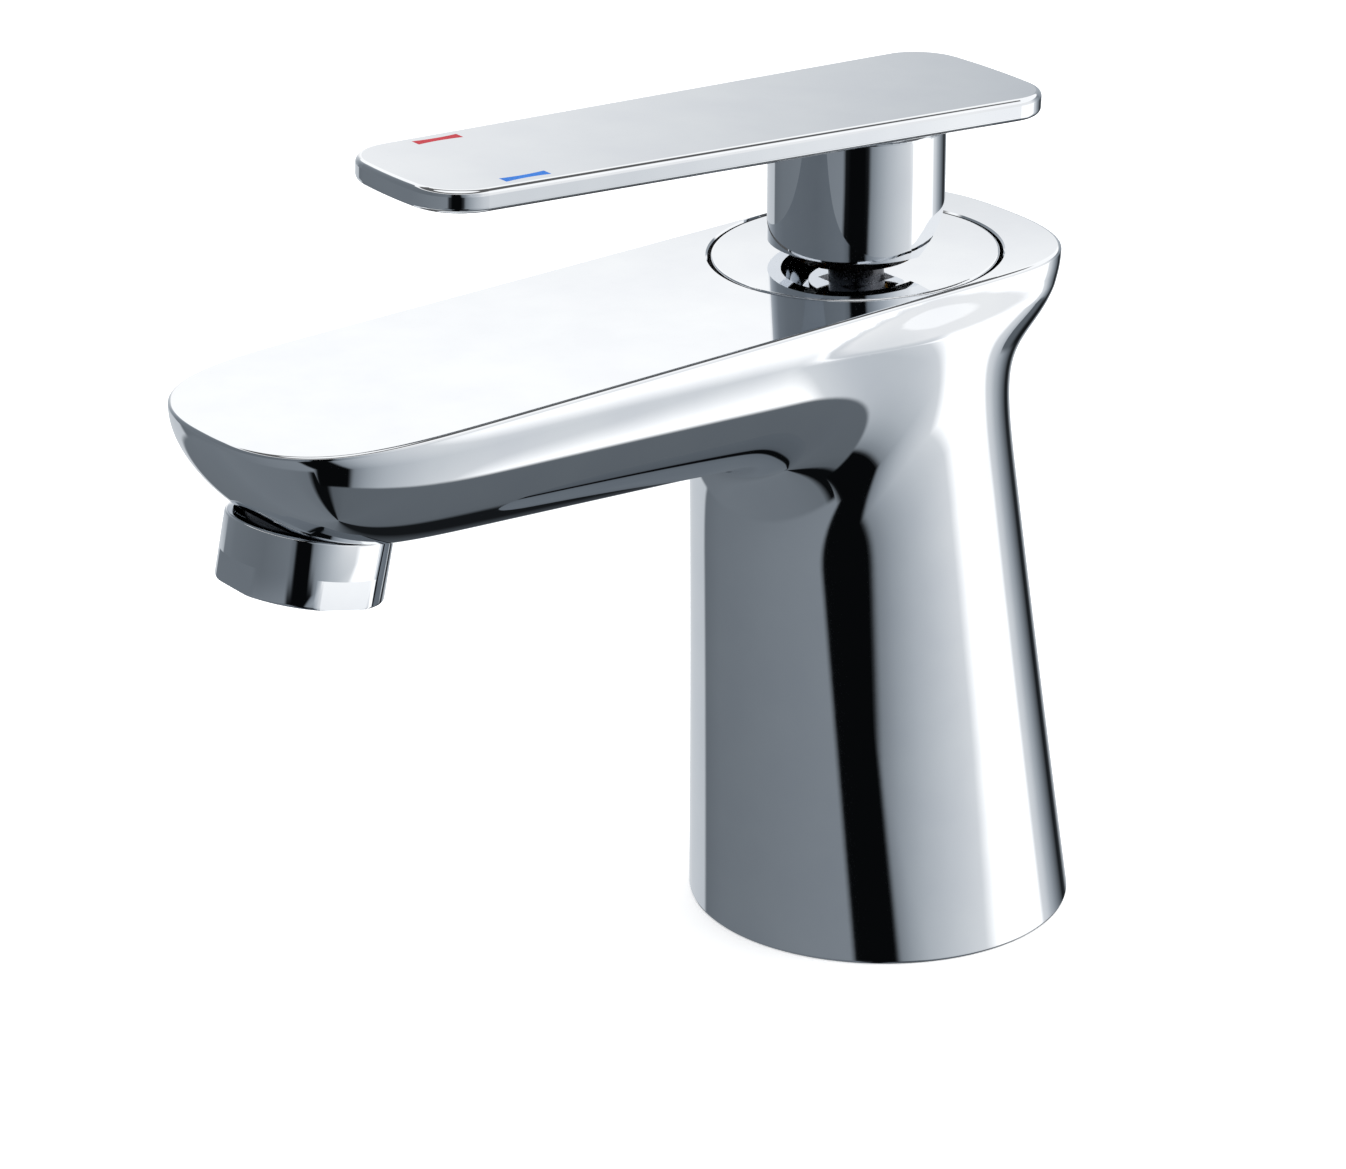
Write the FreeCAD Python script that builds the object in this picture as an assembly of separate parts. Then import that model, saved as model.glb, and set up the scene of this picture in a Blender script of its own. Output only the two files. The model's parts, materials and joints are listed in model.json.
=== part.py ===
import FreeCAD, Part
import math
import os
from FreeCAD import Placement, Rotation, Vector

# Single-lever basin mixer. Millimetres, +Z up, the spout points towards -Y, X = 0 is the plane of symmetry.
# The origin is the centre of the foot on the surface that the faucet stands on.

# Body casting
foot_radius = 29.9
deck_height = 106.2           # at the cartridge axis
deck_slope_deg = 1.97         # the deck falls towards the nose
cartridge_y = -6.4            # the cartridge axis, which is also the handle's swivel axis
neck_below_deck = 22.2        # where the column's neck is measured
neck_shift = -7.0             # the column's centre at its neck
column_sag = 0.6              # the column's side is slightly hollow
neck_wall = 4.9               # between the nut's thread and the outside of the neck
nose_reach = 114.8            # from the cartridge axis to the tip of the spout
stern_reach = 28.8            # from the cartridge axis to the back of the deck
deck_land = 0.9               # deck left between the cover's recess and the side
spout_depth = 24.6            # below the deck where the spout leaves the column
spout_depth_loss = 0.075      # depth lost per millimetre of reach
stern_depth = 17.0
nose_length = 44.8            # the part of the spout that closes towards its tip
depth_blend_start = -10.0     # where the depth begins to grow from the stern's to the spout's
depth_blend_length = 34.0
depth_reference = 45.0        # where spout_depth holds
top_excess = 3.0              # sections run this far above the deck before it is cut
section_power = 2.4           # fullness of the spout's section
closing_power = 5.0
width_closing = 0.42
depth_closing = 0.69
foot_wall = 5.5
column_wall = 4.0
web_thickness = 16.0          # between the foot's cavity and the cartridge chamber
gasket_groove_depth = 2.0
gasket_from_edge = 1.5
gasket_width = 2.4
gasket_clearance = 0.1

# Cartridge chamber, from the deck downwards
cartridge_radius = 17.4
chamber_clearance = 0.2
gallery_width = 1.8           # round the cartridge, where the mixed water collects
gallery_below_shoulder = 4.5
cartridge_height = 27.0       # floor to shoulder
nut_overhang = 2.0            # nut beyond the cartridge
thread_clearance = 0.1
slip_ring_thickness = 0.6
nut_height = 7.4
nut_socket_wall = 3.4         # from the thread to the corners of the hexagon socket
nut_socket_floor = 3.0
nut_chamfer = 0.6
cover_overhang = 2.3          # cover beyond the nut
cover_gap = 0.5               # round the cover and over the nut
cover_thickness = 4.7         # at the cartridge axis
cover_hole_radius = 9.2
cover_oring_radius = 0.9
cover_oring_height = 2.0      # above the recess floor
cover_edge = 0.35
spot_clearance = 0.4

# Waterways
inlet_spacing = 15.0
inlet_forward = -2.0          # inlets lie this far in front of the cartridge axis (negative is behind)
inlet_thread_radius = 4.5
inlet_thread_length = 10.0
channel_radius = 2.8
stud_radius = 3.4
stud_thread_length = 11.0
stud_behind = 16.0            # behind the cartridge axis
core_half_width = 12.5
core_half_height = 6.2
core_roof = 6.0               # metal between the deck and the waterway
outlet_radius = 3.5
core_reference = 60.0         # where core_roof holds
core_start = 30.0             # in front of the cartridge axis
throat_half_width = 9.0
throat_height = 5.0
throat_length = 6.0
throat_overlap = 2.0          # throat and gallery run into each other by this much
throat_below_gallery = 0.1
core_to_aerator = 4.0         # metal between the waterway and the aerator's thread
outlet_reach = 10.0           # of the bore through that metal, to each side
outlet_rise = 1.0             # that bore above the waterway's centre

# Cartridge
wall = 2.3
top_plate = 3.0
base_thickness = 4.0
plug_height = 2.0
fit_gap = 0.1
seal_width = 1.3
seal_thickness = 1.0
seal_from_port = 0.3
outlet_port_forward = 4.5     # in front of the cartridge axis
outlet_floor = 1.5            # base left under the outlet channel
outlet_roof = 0.6             # and above it
locating_pin_x = 12.0
locating_pin_radius = 1.5
locating_pin_length = 2.5
locating_pin_end_gap = 0.5
key_post_inset = 0.4          # key posts sit on the fixed disc's edge, in by this much
key_post_radius = 1.1
key_post_height = 3.0
key_clearance = 0.2
fixed_disc_gap = 1.1          # round the fixed disc in the housing
fixed_disc_thickness = 3.5
moving_disc_margin = 3.0      # fixed disc beyond the moving disc
moving_disc_thickness = 3.0
ceramic_gap = 0.05
pocket_depth = 1.6
pocket_half_width = 7.6
pocket_start = 2.6            # behind the disc's centre
pocket_end = 6.6
pocket_stem = 5.0             # in front of the disc's centre
carrier_height = 4.45
carrier_chamfer = 0.8
running_gap = 0.3
neck_radius_turret = 9.5
shaft_clearance = 0.08
pivot_above_shoulder = 2.5
turret_rise = 3.5             # turret top above the pivot
arm_root_radius = 2.4
arm_tip_radius = 1.6
arm_length = 14.0             # pivot to the centre of the ball
ball_radius = 2.2
ball_clearance = 0.2
barrel_radius = 4.4
barrel_width = 8.4
barrel_side_gap = 0.2
slot_clearance = 1.0          # between the tilting arm and the turret
pin_radius = 1.5
pin_clearance = 0.05
pin_inset = 0.3               # pin ends inside the turret's neck
lift_angle = 20.0
limit_ring_width = 2.4
limit_ring_thickness = 2.0
limit_ring_fit = 0.02
limit_notch_half_width = 2.0
limit_notch_depth = 1.6
spindle_neck_radius = 4.2
oring_radius = 0.7
oring_groove_depth = 1.4
square_side = 8.0
square_chamfer = 0.6

# Handle
lever_front = 83.5            # from the cartridge axis
lever_back = 26.9
lever_above_deck = 24.6       # top face, at the cartridge axis
lever_slope_deg = 1.95        # the lever rises towards its front
lever_back_half_width = 16.1
lever_front_half_width = 13.6
lever_thickness = 3.4
lever_corner = 8.0
lever_end_bulge = 1.2
lever_edge = 0.9
hub_root = 1.2                # fillet between the hub and the plate
hub_radius = 13.3
hub_wall = 2.0
hub_gap = 2.2                 # above the deck
hub_cut_start = 1.5           # behind the axis
hub_cut_deg = 36.0
hub_pocket = 9.5
boss_rise = 2.0               # boss above the hub's lowest edge
boss_radius = 7.2
socket_clearance = 0.1
socket_end_gap = 0.4
spindle_in_hub = 15.5
screw_radius = 2.5
screw_to_plug = 0.5
screw_socket_depth = 2.5
screw_height = 13.5           # above the hub's lowest edge
plug_radius = 3.2
plug_thickness = 1.8
plug_fit = 0.05
hex_key = 2.5
mark_length = 7.6
mark_end_width = 1.9
mark_waist_width = 1.3
mark_forward = 67.5
mark_side = 10.9
mark_depth = 0.5

# Aerator
aerator_from_tip = 17.1       # collar top, behind the tip of the spout
aerator_below_deck = 22.1     # collar top, below the deck at the cartridge axis
aerator_tilt_deg = 12.2
collar_edge = 0.5
grille_hole = 0.85
grille_pitch = 2.1
insert_hole = 0.7
insert_pitch = 2.6
insert_wall = 1.4
insert_margin = 0.4           # between the wall and the nearest hole
insert_floor = 3.0            # thickness of its upper plate
screen_hole = 0.45
screen_pitch = 1.4
collar_radius = 12.3
collar_height = 8.5
thread_radius = 10.9
thread_height = 7.0
flow_radius = 9.5
lip = 0.8
flat_depth = 0.95
flat_height = 4.4
washer_thickness = 1.5
passage_radius = 8.0
passage_height = 5.5
grille_thickness = 1.3
screen_thickness = 0.6
insert_height = 8.0

up = Vector(0, 0, 1)
deck_slope = math.tan(math.radians(deck_slope_deg))
nut_radius = cartridge_radius + nut_overhang
cover_radius = nut_radius + cover_overhang
gallery_radius = cartridge_radius + gallery_width
deck_half_width = cover_radius + cover_gap + deck_land
neck_radius = nut_radius + thread_clearance + neck_wall
neck_height = deck_height - neck_below_deck
cover_floor = deck_height - cover_thickness
nut_bottom = cover_floor - cover_gap - nut_height
shoulder = nut_bottom - slip_ring_thickness
chamber_floor = shoulder - cartridge_height
gallery_top = shoulder - gallery_below_shoulder
cavity_height = chamber_floor - web_thickness
pivot_height = shoulder + pivot_above_shoulder
nose_start = nose_reach - nose_length
aerator_forward = nose_reach - aerator_from_tip
aerator_height = deck_height - aerator_below_deck
lever_height = deck_height + lever_above_deck
hub_bottom = deck_height + hub_gap
lever_turn = Rotation(Vector(1, 0, 0), -lever_slope_deg)
aerator_place = Placement(
    Vector(0, cartridge_y - aerator_forward, aerator_height),
    Rotation(Vector(1, 0, 0), -aerator_tilt_deg),
)


def cylinder(radius, low, high, x=0.0, y=cartridge_y):
    """A vertical cylinder, on the cartridge axis unless x and y say otherwise."""
    return Part.makeCylinder(radius, high - low, Vector(x, y, low), up)


def ring(inner, outer, low, high, x=0.0, y=cartridge_y):
    return cylinder(outer, low, high, x, y).cut(cylinder(inner, low - 1, high + 1, x, y))


def block(x0, x1, y0, y1, z0, z1):
    return Part.makeBox(x1 - x0, y1 - y0, z1 - z0, Vector(x0, y0, z0))


def hexagon(corner_radius):
    """A hexagon round the origin on the XY plane."""
    angles = [math.radians(60 * i) for i in range(7)]
    return Part.makePolygon(
        [Vector(corner_radius * math.cos(a), corner_radius * math.sin(a), 0) for a in angles]
    )


def deck_z(forward):
    """Height of the deck plane at a distance in front of the cartridge axis."""
    return deck_height - deck_slope * forward


def above_deck(lift=0.0):
    """Everything above the deck plane, raised by lift."""
    size = 3 * nose_reach
    slab = block(-size, size, -size, size, 0, size)
    slab.Placement = Placement(
        Vector(0, cartridge_y, deck_height + lift), Rotation(Vector(1, 0, 0), deck_slope_deg)
    )
    return slab


def join(first, others):
    return first.fuse(others).removeSplitter() if others else first


# ---------------------------------------------------------------- body casting


def column_section(height):
    """Centre and radius of the column's round section at a height."""
    t = height / neck_height
    radius = foot_radius + (neck_radius - foot_radius) * t + column_sag * t * (t - 1)
    centre = neck_shift * t
    return centre, radius


def column(inset=0.0, low=0.0, high=deck_height + 2, extra_at_foot=0.0):
    """The oblique round column, made smaller by inset."""
    rings = []
    steps = 5
    for i in range(steps + 1):
        z = low + (high - low) * i / steps
        centre, radius = column_section(z)
        shrink = inset + extra_at_foot * (1 - i / steps)
        circle = Part.Circle(Vector(0, centre, z), up, radius - shrink)
        rings.append(Part.Wire([circle.toShape()]))
    return Part.makeLoft(rings, True, False)


def spout_size(forward):
    """Half width at the deck and depth below it, at a distance in front of the cartridge axis."""
    depth = spout_depth - spout_depth_loss * (forward - depth_reference)
    blend = min(1.0, max(0.0, (forward - depth_blend_start) / depth_blend_length))
    blend = blend * blend * (3 - 2 * blend)
    depth = stern_depth + (depth - stern_depth) * blend
    if forward > nose_start:
        t = (forward - nose_start) / (nose_reach - nose_start)
    elif forward < 0:
        t = -forward / stern_reach
    else:
        t = 0.0
    closing = 1 - t ** closing_power
    return deck_half_width * closing ** width_closing, depth * closing ** depth_closing


def spout_section(forward):
    """Closed outline of the spout in the plane at a distance in front of the cartridge axis."""
    half_width, depth = spout_size(forward)
    y = cartridge_y - forward
    top = deck_z(forward)
    power = 2 / section_power
    steps = 16
    points = [Vector(half_width, y, top + top_excess), Vector(half_width, y, top + top_excess / 2)]
    for i in range(steps + 1):
        angle = math.pi * i / steps
        c = math.cos(angle)
        x = math.copysign(half_width * abs(c) ** power, c)
        points.append(Vector(x, y, top - depth * abs(math.sin(angle)) ** power))
    points += [Vector(-half_width, y, top + top_excess / 2), Vector(-half_width, y, top + top_excess)]
    curve = Part.BSplineCurve()
    curve.interpolate(points)
    return Part.Wire([curve.toShape(), Part.makeLine(points[-1], points[0])])


def spout():
    stern = [-stern_reach * t for t in (0.998, 0.97, 0.9, 0.78, 0.6, 0.35)]
    middle = [nose_start * i / 5 for i in range(6)]
    nose_length = nose_reach - nose_start
    nose = [nose_start + nose_length * t for t in (0.3, 0.5, 0.65, 0.77, 0.86, 0.92, 0.96, 0.985, 0.998)]
    return Part.makeLoft([spout_section(s) for s in stern + middle + nose], True, False)


def waterway():
    """The cored passage from the gallery to the aerator."""
    centre_z = deck_z(core_reference) - core_roof - core_half_height
    start = cartridge_y - core_start
    end = cartridge_y - aerator_forward + thread_radius + core_to_aerator
    ellipse = Part.Ellipse(Vector(0, 0, 0), core_half_width, core_half_height)
    core = Part.Face(Part.Wire([ellipse.toShape()])).extrude(Vector(0, 0, start - end))
    core.Placement = Placement(Vector(0, end, centre_z), Rotation(Vector(1, 0, 0), -90))
    throat_top = gallery_top - throat_below_gallery
    throat_back = cartridge_y - gallery_radius + throat_overlap
    throat = block(-throat_half_width, throat_half_width, start - throat_length, throat_back,
                   throat_top - throat_height, throat_top)
    link_start = Vector(0, end - outlet_reach, centre_z + outlet_rise)
    link = Part.makeCylinder(outlet_radius, 2 * outlet_reach, link_start, Vector(0, 1, 0))
    socket = Part.makeCylinder(thread_radius + thread_clearance, thread_height + washer_thickness)
    passage = Part.makeCylinder(passage_radius, passage_height + 2, Vector(0, 0, thread_height))
    spot = Part.makeCylinder(
        collar_radius + spot_clearance, 2 * collar_height + spot_clearance, Vector(0, 0, -2 * collar_height)
    )
    for piece in (socket, passage, spot):
        piece.Placement = aerator_place
    return [core, throat, link, socket, passage, spot]


def inlet_places():
    y = cartridge_y - inlet_forward
    return [(-inlet_spacing / 2, y), (inlet_spacing / 2, y)]


def body_casting():
    outer = column().fuse(spout())
    cuts = [above_deck()]
    cuts.append(column(column_wall, -1, cavity_height, foot_wall - column_wall))
    gasket_outer = foot_radius - gasket_from_edge
    gasket_inner = gasket_outer - gasket_width - gasket_clearance
    cuts.append(ring(gasket_inner, gasket_outer, -1, gasket_groove_depth, 0, 0))
    cuts.append(cylinder(gallery_radius, chamber_floor, gallery_top))
    cuts.append(cylinder(cartridge_radius + chamber_clearance, chamber_floor, shoulder))
    cuts.append(cylinder(nut_radius + thread_clearance, shoulder - 1, deck_height))
    cuts.append(cylinder(cover_radius + cover_gap, cover_floor, deck_height + 5))
    inlet_top = cavity_height + inlet_thread_length
    for x, y in inlet_places():
        cuts.append(cylinder(inlet_thread_radius, cavity_height - 1, inlet_top, x, y))
        cuts.append(cylinder(channel_radius, cavity_height, chamber_floor + 1, x, y))
    stud_top = cavity_height + stud_thread_length
    cuts.append(cylinder(stud_radius, cavity_height - 1, stud_top, 0, cartridge_y + stud_behind))
    pin_hole_floor = chamber_floor - locating_pin_length - locating_pin_end_gap
    for x in (-locating_pin_x, locating_pin_x):
        cuts.append(cylinder(locating_pin_radius + fit_gap, pin_hole_floor, chamber_floor + 1, x))
    return outer.cut(cuts + waterway())


def foot_gasket():
    outer = foot_radius - gasket_from_edge - gasket_clearance / 2
    return ring(outer - gasket_width, outer, 0, gasket_groove_depth, 0, 0)


# ---------------------------------------------------------------- cover and nut


def cover_disc():
    """The round cover let into the deck; its top lies in the deck plane."""
    disc = cylinder(cover_radius, cover_floor, deck_height + 3).cut(above_deck())
    edges = [e for e in disc.Edges if e.CenterOfMass.z > cover_floor + 2 and e.Length > cover_radius]
    disc = disc.makeFillet(cover_edge, edges)
    groove_z = cover_floor + cover_oring_height
    groove = ring(cover_radius + cover_gap - 2 * cover_oring_radius - fit_gap, cover_radius + 2,
                  groove_z - cover_oring_radius, groove_z + cover_oring_radius)
    return disc.cut([groove, cylinder(cover_hole_radius, cover_floor - 1, deck_height + 3)])


def cover_oring():
    centre = cover_radius + cover_gap - cover_oring_radius - fit_gap / 2
    place = Vector(0, cartridge_y, cover_floor + cover_oring_height)
    return Part.makeTorus(centre, cover_oring_radius - fit_gap / 2, place, up)


def retaining_nut():
    bore = neck_radius_turret + limit_ring_width + 3 * running_gap
    nut = ring(bore, nut_radius, nut_bottom, nut_bottom + nut_height)
    place = Vector(0, cartridge_y, nut_bottom + nut_socket_floor)
    outline = hexagon(nut_radius - nut_socket_wall)
    outline.translate(place)
    socket = Part.Face(outline).extrude(up * nut_height)
    top_edge = [e for e in nut.Edges if e.CenterOfMass.z > nut_bottom + nut_height - 0.1
                and e.Length > 6 * nut_radius]
    return nut.makeChamfer(nut_chamfer, top_edge).cut(socket)


def slip_ring():
    inner = neck_radius_turret + limit_ring_width + 4 * running_gap
    return ring(inner, cartridge_radius - 0.1, shoulder, nut_bottom)


# ---------------------------------------------------------------- cartridge

housing_bore = cartridge_radius - wall
fixed_disc_radius = housing_bore - fixed_disc_gap
moving_disc_radius = fixed_disc_radius - moving_disc_margin
base_top = chamber_floor + base_thickness
fixed_disc_bottom = base_top + plug_height
moving_disc_bottom = fixed_disc_bottom + fixed_disc_thickness + ceramic_gap
carrier_bottom = moving_disc_bottom + moving_disc_thickness
carrier_top = carrier_bottom + carrier_height
ball_height = pivot_height - arm_length
turret_bottom = carrier_top + 2 * running_gap
turret_flange_top = shoulder - top_plate - running_gap
turret_top = pivot_height + turret_rise
disc_travel = arm_length * math.sin(math.radians(lift_angle))
disc_behind = disc_travel / 2     # the moving disc's centre behind the ball when closed
disc_y = cartridge_y + disc_behind
outlet_port_y = cartridge_y - outlet_port_forward
key_post_x = fixed_disc_radius - key_post_inset
seal_radius = channel_radius + seal_from_port + seal_width


def seal_places(outer_radius, low):
    """A ring seal round each inlet."""
    return [ring(outer_radius - seal_width, outer_radius, low, low + seal_thickness, x, y)
            for x, y in inlet_places()]


def port_seals():
    return Part.makeCompound(seal_places(seal_radius, chamber_floor))


def disc_seals():
    return Part.makeCompound(seal_places(seal_radius, fixed_disc_bottom - seal_thickness))


def cartridge_base():
    base = cylinder(cartridge_radius - 0.1, chamber_floor, base_top)
    adds = [cylinder(housing_bore - fit_gap, base_top, fixed_disc_bottom)]
    for side in (-1, 1):
        adds.append(cylinder(locating_pin_radius, chamber_floor - locating_pin_length, chamber_floor,
                             side * locating_pin_x))
        adds.append(cylinder(key_post_radius, fixed_disc_bottom, fixed_disc_bottom + key_post_height,
                             side * key_post_x))
    cuts = []
    seat_radius = seal_radius + fit_gap
    for x, y in inlet_places():
        cuts.append(cylinder(channel_radius, chamber_floor - 1, fixed_disc_bottom + 1, x, y))
        cuts.append(cylinder(seat_radius, chamber_floor - 1, chamber_floor + seal_thickness, x, y))
        cuts.append(cylinder(seat_radius, fixed_disc_bottom - seal_thickness, fixed_disc_bottom + 1, x, y))
    outlet_low = chamber_floor + outlet_floor
    cuts.append(cylinder(channel_radius, outlet_low, fixed_disc_bottom + 1, 0, outlet_port_y))
    cuts.append(block(-channel_radius, channel_radius, cartridge_y - 2 * cartridge_radius, outlet_port_y,
                      outlet_low, base_top - outlet_roof))
    return join(base, adds).cut(cuts)


def fixed_ceramic_disc():
    disc = cylinder(fixed_disc_radius, fixed_disc_bottom, fixed_disc_bottom + fixed_disc_thickness)
    low, high = fixed_disc_bottom - 1, fixed_disc_bottom + fixed_disc_thickness + 1
    cuts = [cylinder(channel_radius, low, high, x, y) for x, y in inlet_places()]
    cuts.append(cylinder(channel_radius, low, high, 0, outlet_port_y))
    for side in (-1, 1):
        cuts.append(cylinder(key_post_radius + key_clearance, low, high, side * key_post_x))
    return disc.cut(cuts)


def moving_ceramic_disc():
    top = moving_disc_bottom + moving_disc_thickness
    disc = cylinder(moving_disc_radius, moving_disc_bottom, top, 0, disc_y)
    low, high = moving_disc_bottom - 1, moving_disc_bottom + pocket_depth
    cross = block(-pocket_half_width, pocket_half_width,
                  disc_y + pocket_start, disc_y + pocket_end, low, high)
    stem = block(-channel_radius, channel_radius, disc_y - pocket_stem, disc_y + pocket_end, low, high)
    return disc.cut([cross, stem])


def disc_carrier():
    carrier = cylinder(moving_disc_radius, carrier_bottom, carrier_top, 0, disc_y)
    edges = [e for e in carrier.Edges if e.CenterOfMass.z > carrier_top - 0.1]
    carrier = carrier.makeChamfer(carrier_chamfer, edges)
    seat_radius = ball_radius + ball_clearance
    return carrier.cut(cylinder(seat_radius, ball_height - seat_radius, carrier_top + 1))


def cartridge_housing():
    shell = cylinder(cartridge_radius, base_top, shoulder)
    cuts = [cylinder(housing_bore, base_top - 1, shoulder - top_plate)]
    cuts.append(cylinder(neck_radius_turret + shaft_clearance, base_top, shoulder + 1))
    groove_z = (gallery_top + shoulder - 1) / 2
    cuts.append(ring(cartridge_radius - oring_groove_depth, cartridge_radius + 1,
                     groove_z - oring_radius - fit_gap, groove_z + oring_radius + fit_gap))
    return shell.cut(cuts)


def housing_oring():
    groove_z = (gallery_top + shoulder - 1) / 2
    radius = cartridge_radius + chamber_clearance - oring_radius - fit_gap / 2
    return Part.makeTorus(radius, oring_radius, Vector(0, cartridge_y, groove_z), up)


def across(radius, half):
    """A cylinder along the pivot's axis."""
    return Part.makeCylinder(radius, 2 * half, Vector(-half, cartridge_y, pivot_height), Vector(1, 0, 0))


def swivel_turret():
    turret = cylinder(housing_bore - 2 * running_gap, turret_bottom, turret_flange_top)
    turret = join(turret, [cylinder(neck_radius_turret, turret_bottom, turret_top)])
    half = barrel_width / 2 + barrel_side_gap
    reach = math.tan(math.radians(lift_angle))
    neck_front = (pivot_height - turret_flange_top) * reach + arm_root_radius + slot_clearance
    skirt_front = (pivot_height - turret_bottom) * reach + arm_root_radius + slot_clearance
    tilted_neck = spindle_neck_radius / math.cos(math.radians(lift_angle))
    back = cartridge_y + turret_rise * reach + tilted_neck + slot_clearance / 2
    low = turret_bottom - 1
    cuts = [block(-half, half, cartridge_y - neck_front, back, low, turret_top + 1)]
    cuts.append(block(-half, half, cartridge_y - skirt_front, back, low, turret_flange_top))
    cuts.append(across(pin_radius, 2 * neck_radius_turret))
    return turret.cut(cuts)


def pivot_pin():
    return across(pin_radius, math.sqrt(neck_radius_turret ** 2 - pin_radius ** 2) - pin_inset)


def temperature_limit_ring():
    low = shoulder + running_gap
    inner = neck_radius_turret + limit_ring_fit
    limit = ring(inner, inner + limit_ring_width, low, low + limit_ring_thickness)
    notch = block(-limit_notch_half_width, limit_notch_half_width,
                  cartridge_y + inner + limit_ring_width - limit_notch_depth, cartridge_y + 2 * inner,
                  low - 1, low + 1 + limit_ring_thickness)
    return limit.cut(notch)


def lever_spindle():
    """Square head, round neck, pivot barrel and an arm that ends in the ball."""
    half = square_side / 2
    barrel = across(barrel_radius, barrel_width / 2)
    head = block(-half, half, cartridge_y - half, cartridge_y + half,
                 hub_bottom + boss_rise, hub_bottom + spindle_in_hub)
    head_edges = [e for e in head.Edges if e.CenterOfMass.z > hub_bottom + spindle_in_hub - 0.1]
    head = head.makeChamfer(square_chamfer, head_edges)
    neck = cylinder(spindle_neck_radius, pivot_height, hub_bottom + boss_rise)
    centre = Vector(0, cartridge_y, ball_height)
    arm = Part.makeCone(arm_tip_radius, arm_root_radius, arm_length, centre, up)
    ball = Part.makeSphere(ball_radius, centre)
    spindle = join(barrel, [neck, head, arm, ball])
    return spindle.cut(across(pin_radius + pin_clearance, barrel_width))


# ---------------------------------------------------------------- handle


def on_lever(shape, forward=0.0, side=0.0, lift=0.0):
    """Places a shape drawn at the origin on the lever's top plane, forward being along -Y."""
    place = Placement(Vector(0, cartridge_y, lever_height), lever_turn)
    shape.Placement = place.multiply(Placement(Vector(side, -forward, lift), Rotation()))
    return shape


def lever_half_width(forward):
    share = (forward + lever_back) / (lever_front + lever_back)
    return lever_back_half_width + (lever_front_half_width - lever_back_half_width) * share


def lever_outline():
    """Tapered outline with round corners and slightly bulged ends, drawn on the XY plane."""
    front_y, back_y = -lever_front + lever_end_bulge, lever_back - lever_end_bulge
    front, back = lever_half_width(lever_front), lever_half_width(-lever_back)
    corners = [Vector(front, front_y, 0), Vector(back, back_y, 0),
               Vector(-back, back_y, 0), Vector(-front, front_y, 0)]
    sides = [Part.makeLine(corners[0], corners[1]),
             Part.Arc(corners[1], Vector(0, lever_back, 0), corners[2]).toShape(),
             Part.makeLine(corners[2], corners[3]),
             Part.Arc(corners[3], Vector(0, -lever_front, 0), corners[0]).toShape()]
    return Part.Wire(sides)


def lever_plate():
    slab = Part.Face(lever_outline()).extrude(Vector(0, 0, -lever_thickness))
    upright = [e for e in slab.Edges if abs(e.tangentAt(e.FirstParameter).z) > 0.99]
    slab = slab.makeFillet(lever_corner, upright)
    flat = [e for e in slab.Edges if abs(e.tangentAt(e.FirstParameter).z) < 0.01]
    return on_lever(slab.makeFillet(lever_edge, flat))


def hub_back_cut():
    """The wedge that clears the deck when the handle is lifted."""
    size = 4 * hub_radius
    wedge = block(-size, size, 0, size, -size, 0)
    wedge.Placement = Placement(
        Vector(0, cartridge_y + hub_cut_start, hub_bottom), Rotation(Vector(1, 0, 0), hub_cut_deg)
    )
    return wedge


def backward(radius, length, start):
    """A cylinder along the grub screw's axis, starting this far behind the cartridge axis."""
    place = Vector(0, cartridge_y + start, hub_bottom + screw_height)
    return Part.makeCylinder(radius, length, place, Vector(0, 1, 0))


def hub():
    outer = cylinder(hub_radius, hub_bottom, lever_height - lever_thickness / 2)
    pocket = ring(boss_radius, hub_radius - hub_wall, hub_bottom - 1, hub_bottom + hub_pocket)
    under_boss = cylinder(hub_radius - hub_wall, hub_bottom - 1, hub_bottom + boss_rise)
    side = square_side / 2 + socket_clearance
    socket = block(-side, side, cartridge_y - side, cartridge_y + side,
                   hub_bottom - 1, hub_bottom + spindle_in_hub + socket_end_gap)
    screw_hole = backward(screw_radius + fit_gap, 2 * hub_radius, 0)
    plug_seat = backward(plug_radius, hub_radius, hub_radius - plug_thickness)
    return outer, [pocket, under_boss, socket, screw_hole, plug_seat, hub_back_cut()]


def mark_outline():
    half, end, waist = mark_length / 2, mark_end_width / 2, mark_waist_width / 2
    right = Part.Arc(Vector(end, -half, 0), Vector(waist, 0, 0), Vector(end, half, 0)).toShape()
    left = Part.Arc(Vector(-end, half, 0), Vector(-waist, 0, 0), Vector(-end, -half, 0)).toShape()
    front = Part.makeLine(Vector(-end, -half, 0), Vector(end, -half, 0))
    back = Part.makeLine(Vector(end, half, 0), Vector(-end, half, 0))
    return Part.Wire([right, back, left, front])


def mark(side):
    bar = Part.Face(mark_outline()).extrude(Vector(0, 0, -mark_depth))
    return on_lever(bar, mark_forward, side * mark_side)


def lever_handle():
    outer, cuts = hub()
    body = join(lever_plate(), [outer])
    top = lever_height - lever_thickness
    root = [e for e in body.Edges if e.BoundBox.ZLength < 2 * hub_radius * math.tan(math.radians(3))
            and abs(e.CenterOfMass.z - top) < 1.0
            and abs(e.BoundBox.XLength - 2 * hub_radius) < 0.5]
    body = body.makeFillet(hub_root, root)
    return body.cut(cuts + [mark(-1), mark(1)])


def grub_screw():
    start = square_side / 2
    end = hub_radius - plug_thickness - screw_to_plug
    outline = hexagon(hex_key / 2)
    outline.Placement = Placement(
        Vector(0, cartridge_y + end - screw_socket_depth, hub_bottom + screw_height),
        Rotation(Vector(1, 0, 0), 90),
    )
    socket = Part.Face(outline).extrude(Vector(0, 2 * screw_socket_depth, 0))
    return backward(screw_radius, end - start, start).cut(socket)


def screw_plug():
    plug = backward(plug_radius - plug_fit, 2 * plug_thickness, hub_radius - plug_thickness)
    return plug.common(cylinder(hub_radius, hub_bottom, lever_height))


# ---------------------------------------------------------------- aerator


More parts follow.
